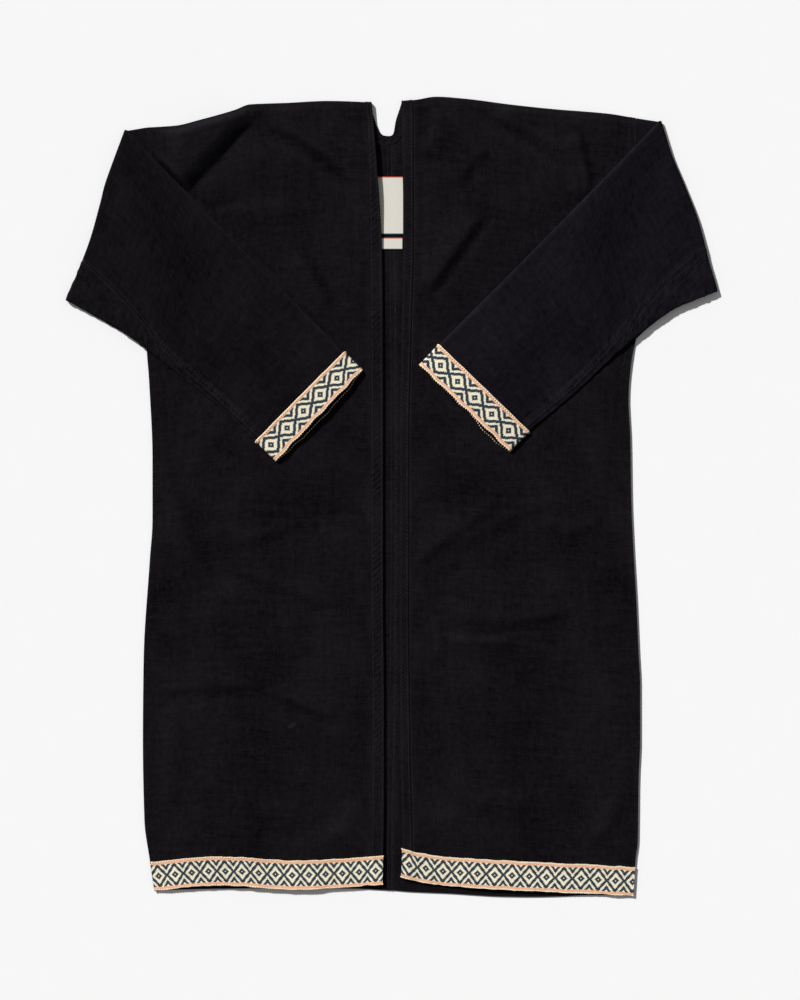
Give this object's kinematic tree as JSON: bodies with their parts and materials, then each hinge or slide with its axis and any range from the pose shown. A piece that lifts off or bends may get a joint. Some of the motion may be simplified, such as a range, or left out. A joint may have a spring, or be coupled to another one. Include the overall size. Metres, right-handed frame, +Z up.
{
  "type": "noragi jacket",
  "caption": "Long open noragi jacket of dark cotton laid flat, front up, sleeves folded over the fronts, with woven ribbon round the cuffs and along the front hems.",
  "frame": {"origin": "middle of the bounding box's underside, on the surface that the jacket lies on", "axes": "+X towards the wearer's left sleeve, +Y from the hem up to the collar, +Z up off the surface"},
  "size_m": [0.8466, 1.0396, 0.0135],
  "materials": {
    "cotton": "matt washed cotton twill, near black with a faint violet cast, rubbed lighter along its sewn edges",
    "ribbon": "jacquard woven ribbon, rows of diamonds in deep teal on cream, with coral edges",
    "label": "plain ivory woven label without words"
  },
  "bodies": {
    "root": {"body_right": "cotton", "body_left": "cotton", "front_band": "cotton", "sleeve_right": "cotton", "sleeve_left": "cotton", "gusset_right": "cotton", "gusset_left": "cotton", "cuff_ribbon_right": "ribbon", "cuff_ribbon_left": "ribbon", "hem_ribbon_right": "ribbon", "hem_ribbon_left": "ribbon", "neck_label": "label", "size_label": "label"}
  },
  "joints": []
}
